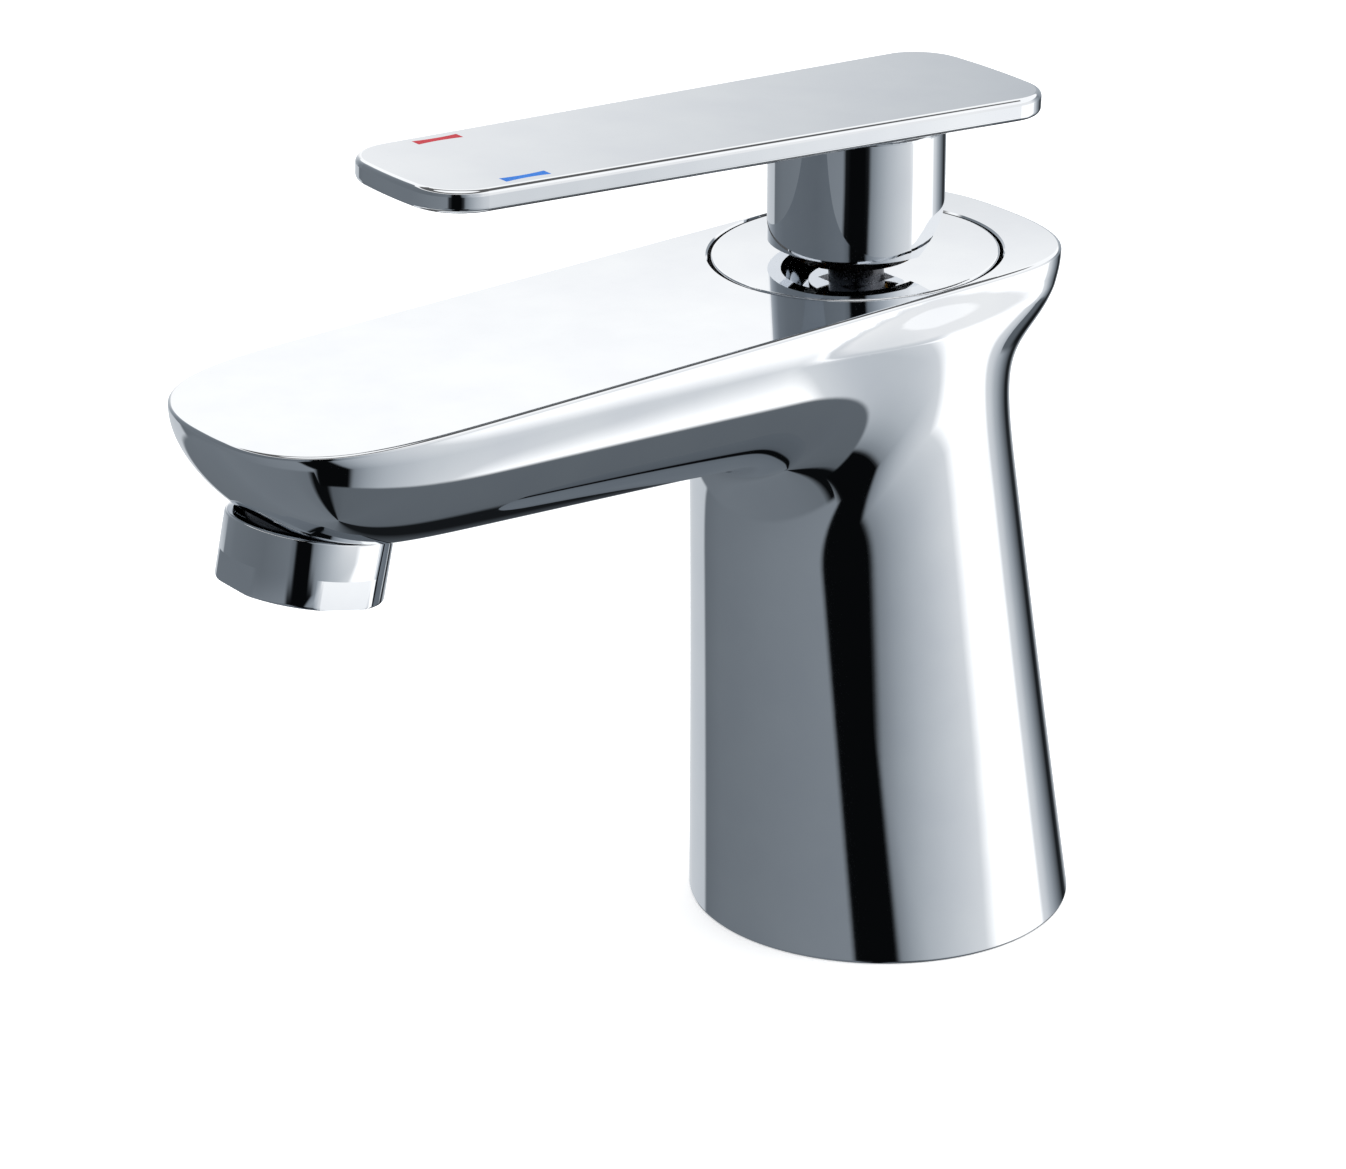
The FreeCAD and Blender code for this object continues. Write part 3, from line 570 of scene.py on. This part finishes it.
def make_collar():
    rings = [collar_ring(FLOW_RADIUS, COLLAR_TOP)]
    for step in range(COLLAR_STEPS + 1):
        a = math.pi / 2 * step / COLLAR_STEPS
        rings.append(collar_ring(COLLAR_RADIUS - COLLAR_EDGE * (1 - math.sin(a)),
                                 COLLAR_TOP - COLLAR_EDGE * (1 - math.cos(a))))
    rings += [collar_ring(COLLAR_RADIUS, FLAT_TOP), collar_ring(COLLAR_RADIUS, FLAT_TOP, FLAT_DEPTH)]
    for step in range(COLLAR_STEPS + 1):
        a = math.pi / 2 * step / COLLAR_STEPS
        rings.append(collar_ring(COLLAR_RADIUS - COLLAR_EDGE * (1 - math.cos(a)),
                                 COLLAR_BOTTOM + COLLAR_EDGE * (1 - math.sin(a)), FLAT_DEPTH))
    lip_top = COLLAR_BOTTOM + MOUTH_HEIGHT
    rings += [collar_ring(MOUTH_RADIUS, COLLAR_BOTTOM), collar_ring(MOUTH_RADIUS, lip_top),
              collar_ring(FLOW_RADIUS, lip_top), collar_ring(FLOW_RADIUS, COLLAR_TOP)]
    shell = Shell()
    shell.strip(rings)
    collar = shell.make("aerator_collar", COLLAR_SHARP_DEG)
    collar.data.materials.append(materials["chrome"])
    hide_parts("aerator_housing")
    return collar


# ---------------------------------------------------------------- studio

# Brightness of the studio by compass direction: degrees round from the spout (-Y) towards +X.
# WALLS is seen a little below the horizon, LOW further down and HIGH above it.
# A white ceiling closes the top.
WALLS = [(-180, 0.5), (-178, 0.45), (-172, 0.29), (-165, 0.14), (-158, 0.01), (-151, 0.03),
         (-142, 0.5), (-128, 0.8), (-106, 0.66), (-81, 0.62), (-78, 0.17), (-60, 0.2), (-10, 0.24),
         (27, 0.26), (31, 0.003), (60, 0.003), (64, 0.25), (73, 0.38), (85, 0.52), (100, 0.65),
         (117, 0.78), (126, 1.3), (167, 1.3), (170, 0.8), (175, 0.7), (180, 0.5)]
LOW = [(-180, 0.14), (-170, 0.13), (-162, 0.01), (-138, 0.01), (-126, 0.08), (-110, 0.17), (-60, 0.21),
       (15, 0.2), (38, 0.18), (43, 0.004), (57, 0.004), (62, 0.12), (75, 0.14), (120, 0.15),
       (180, 0.14)]
HIGH = [(-180, 0.4), (-169, 0.27), (-160, 0.35), (-134, 0.5), (-120, 1.15), (-112, 1.0), (-107, 0.7),
        (-90, 0.4), (-74, 0.23), (-54, 0.19), (0, 0.165), (35, 0.2), (41, 0.15), (44, 0.003),
        (62, 0.003), (66, 0.22), (74, 0.34), (85, 0.49), (96, 0.66), (107, 0.84), (119, 0.98),
        (150, 0.98), (159, 0.9), (166, 0.74), (173, 0.53), (180, 0.4)]
COOL = (0.81, 0.95, 1.10)
CEILING = 1.15
LEAN = 3.3                 # degrees that the walls' pattern turns for each degree further down
LEAN_CENTRE = -22.0
LEAN_SPAN = (-27.5, -21.5)
LEAN_FADE = (115.0, 70.0)  # the turning dies away this far round from LEAN_AZIMUTH
LEAN_AZIMUTH = 45.0
LEAN_UP = 2.2              # and back again above LEAN_SPAN
LEAN_UP_SPAN = (-21.5, -17.5)
LOW_EDGE_LEFT = -29.5      # where the walls end, left and right of the dark card
LOW_EDGE_RIGHT = -43.5
LOW_EDGE_SPLIT = (45.0, 50.0)
LOW_EDGE_SOFT = 1.2
HIGH_EDGE = (-19.0, -3.0)
RAIL = 0.12                # a dark rail round the ceiling, which draws the thin line along rounded edges
RAIL_LOW = (46.0, 50.0)
RAIL_HIGH = (64.0, 68.0)
CEILING_EDGE = (18.5, 22.0)
CEILING_RISE = 22.0        # how much higher the ceiling starts in front
CEILING_AZIMUTH = 10.0
CEILING_FADE = (115.0, 90.0)


class Nodes:
    """Short forms for building a shader tree."""

    def __init__(self, tree):
        self.tree = tree

    def new(self, kind, **settings):
        made = self.tree.nodes.new(kind)
        for key, value in settings.items():
            setattr(made, key, value)
        return made

    def link(self, value, socket):
        if isinstance(value, (int, float)):
            socket.default_value = value
        else:
            self.tree.links.new(value, socket)

    def math(self, operation, *values):
        made = self.new("ShaderNodeMath", operation=operation)
        for socket, value in zip(made.inputs, values):
            self.link(value, socket)
        return made.outputs[0]

    def ranged(self, value, low, high, smooth=True):
        made = self.new("ShaderNodeMapRange", interpolation_type="SMOOTHSTEP" if smooth else "LINEAR")
        made.inputs["From Min"].default_value = low
        made.inputs["From Max"].default_value = high
        self.link(value, made.inputs["Value"])
        return made.outputs["Result"]

    def mix(self, share, first, second):
        made = self.new("ShaderNodeMix", data_type="RGBA")
        self.link(share, made.inputs[0])
        self.link(first, made.inputs[6])
        self.link(second, made.inputs[7])
        return made.outputs[2]

    def pattern(self, turn, stops):
        """Colour ramp round the compass; the greys between black and white are slightly cool."""
        ramp = self.new("ShaderNodeValToRGB")
        spots = ramp.color_ramp.elements
        while len(spots) < len(stops):
            spots.new(0.5)
        for spot, (direction, grey) in zip(spots, stops):
            spot.position = (direction + 180) / 360
            warmth = min(1.0, grey)
            spot.color = (*[grey * (c + (1 - c) * warmth) for c in COOL], 1)
        self.link(turn, ramp.inputs["Fac"])
        return ramp.outputs["Color"]


def make_world():
    world = bpy.data.worlds.new("studio")
    bpy.context.scene.world = world
    world.use_nodes = True
    world.node_tree.nodes.clear()
    nodes = Nodes(world.node_tree)
    where = nodes.new("ShaderNodeTexCoord")
    parts = nodes.new("ShaderNodeSeparateXYZ")
    nodes.link(where.outputs["Generated"], parts.inputs[0])
    azimuth = nodes.math("ARCTAN2", parts.outputs["X"], nodes.math("MULTIPLY", parts.outputs["Y"], -1.0))
    turn = nodes.math("ADD", nodes.math("DIVIDE", azimuth, 2 * math.pi), 0.5)
    degrees = nodes.math("DEGREES", azimuth)
    rise = nodes.math("DEGREES", nodes.math("ARCSINE", parts.outputs["Z"]))

    def around(direction, fade):
        """One near a compass direction, falling to zero over a range of angles."""
        away = nodes.math("ABSOLUTE", nodes.math("SUBTRACT", degrees, direction))
        return nodes.ranged(nodes.math("MULTIPLY", away, -1.0), -fade[0], -fade[1])

    held = nodes.math("MINIMUM", nodes.math("MAXIMUM", rise, LEAN_SPAN[0]), LEAN_SPAN[1])
    lean = nodes.math("MULTIPLY", nodes.math("SUBTRACT", held, LEAN_CENTRE), LEAN / 360)
    held_up = nodes.math("MINIMUM", nodes.math("MAXIMUM", rise, LEAN_UP_SPAN[0]), LEAN_UP_SPAN[1])
    back = nodes.math("MULTIPLY", nodes.math("SUBTRACT", held_up, LEAN_UP_SPAN[0]), LEAN_UP / 360)
    lean = nodes.math("SUBTRACT", lean, back)
    lean = nodes.math("MULTIPLY", lean, around(LEAN_AZIMUTH, LEAN_FADE))
    leaning = nodes.math("FRACT", nodes.math("ADD", turn, lean))
    on_right = nodes.ranged(degrees, *LOW_EDGE_SPLIT)
    edge_turn = nodes.math("MULTIPLY", on_right, LOW_EDGE_RIGHT - LOW_EDGE_LEFT)
    above_edge = nodes.math("SUBTRACT", rise, nodes.math("ADD", edge_turn, LOW_EDGE_LEFT))
    in_walls = nodes.ranged(above_edge, -LOW_EDGE_SOFT, LOW_EDGE_SOFT)
    colour = nodes.mix(in_walls, nodes.pattern(turn, LOW), nodes.pattern(leaning, WALLS))
    colour = nodes.mix(nodes.ranged(rise, *HIGH_EDGE), colour, nodes.pattern(turn, HIGH))
    lifted = nodes.math("MULTIPLY", around(CEILING_AZIMUTH, CEILING_FADE), CEILING_RISE)
    in_ceiling = nodes.ranged(nodes.math("SUBTRACT", rise, lifted), *CEILING_EDGE)
    ceiling = nodes.new("ShaderNodeRGB")
    ceiling.outputs[0].default_value = (CEILING, CEILING, CEILING, 1)
    colour = nodes.mix(in_ceiling, colour, ceiling.outputs[0])
    rail = nodes.new("ShaderNodeRGB")
    rail.outputs[0].default_value = (RAIL, RAIL, RAIL, 1)
    in_rail = nodes.math("SUBTRACT", nodes.ranged(rise, *RAIL_LOW), nodes.ranged(rise, *RAIL_HIGH))
    colour = nodes.mix(in_rail, colour, rail.outputs[0])
    reflected = nodes.new("ShaderNodeBackground")
    nodes.link(colour, reflected.inputs["Color"])
    backdrop = nodes.new("ShaderNodeBackground")
    backdrop.inputs["Color"].default_value = (1, 1, 1, 1)
    ray = nodes.new("ShaderNodeLightPath")
    seen = nodes.new("ShaderNodeMixShader")
    nodes.link(ray.outputs["Is Camera Ray"], seen.inputs["Fac"])
    nodes.link(reflected.outputs[0], seen.inputs[1])
    nodes.link(backdrop.outputs[0], seen.inputs[2])
    out = nodes.new("ShaderNodeOutputWorld")
    nodes.link(seen.outputs[0], out.inputs["Surface"])


FLOOR_GLOW = 0.45          # lifts the soft shadow, as on a lit sweep
FLOOR_HALF = 3.0


def make_floor():
    mesh = bpy.data.meshes.new("floor")
    corners = [(-FLOOR_HALF, -FLOOR_HALF, 0), (FLOOR_HALF, -FLOOR_HALF, 0),
               (FLOOR_HALF, FLOOR_HALF, 0), (-FLOOR_HALF, FLOOR_HALF, 0)]
    mesh.from_pydata(corners, [], [(0, 1, 2, 3)])
    floor = bpy.data.objects.new("floor", mesh)
    bpy.context.scene.collection.objects.link(floor)
    material, tree, shader = new_material("floor_white")
    colour = tint(tree, noise(tree, 6.0), (0.93, 0.93, 0.935), (0.96, 0.96, 0.96))
    tree.links.new(colour, shader.inputs["Base Color"])
    tree.links.new(spread(tree, noise(tree, 300.0), 0.8, 0.95), shader.inputs["Roughness"])
    shader.inputs["Emission Color"].default_value = (1, 1, 1, 1)
    shader.inputs["Emission Strength"].default_value = FLOOR_GLOW
    shader.inputs["Specular IOR Level"].default_value = 0.0
    mesh.materials.append(material)
    floor.visible_glossy = False


def area_light(name, place, target, size, power):
    data = bpy.data.lights.new(name, "AREA")
    data.shape = "SQUARE"
    data.size = size
    data.energy = power
    light = bpy.data.objects.new(name, data)
    bpy.context.scene.collection.objects.link(light)
    direction = Vector(target) - Vector(place)
    turn = direction.to_track_quat("-Z", "Y").to_matrix().to_4x4()
    light.matrix_world = Matrix.Translation(place) @ turn
    light.visible_glossy = False
    return light


LIGHT_PLACE = (0, -0.1, 1.2)
LIGHT_TARGET = (0, -0.03, 0)
LIGHT_SIZE = 1.6
LIGHT_POWER = 14

CAMERA_AZIMUTH = 53.6
CAMERA_PLACE = (0.5581, -0.4518, 0.3405)
CAMERA_ELEVATION = 22.0
CAMERA_LENS = 133.7


def make_camera():
    data = bpy.data.cameras.new("camera")
    data.lens = CAMERA_LENS
    data.sensor_width = 36
    camera = bpy.data.objects.new("camera", data)
    bpy.context.scene.collection.objects.link(camera)
    azimuth, elevation = math.radians(CAMERA_AZIMUTH), math.radians(CAMERA_ELEVATION)
    level = math.cos(elevation)
    back = Vector((math.sin(azimuth) * level, -math.cos(azimuth) * level, math.sin(elevation)))
    turn = back.to_track_quat("Z", "Y").to_matrix().to_4x4()
    camera.matrix_world = Matrix.Translation(CAMERA_PLACE) @ turn
    bpy.context.scene.camera = camera


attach(make_body(), "faucet_body")
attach(make_collar(), "faucet_body")
make_world()
make_floor()
area_light("overhead", LIGHT_PLACE, LIGHT_TARGET, LIGHT_SIZE, LIGHT_POWER)
make_camera()
bpy.context.scene.view_settings.view_transform = "Standard"
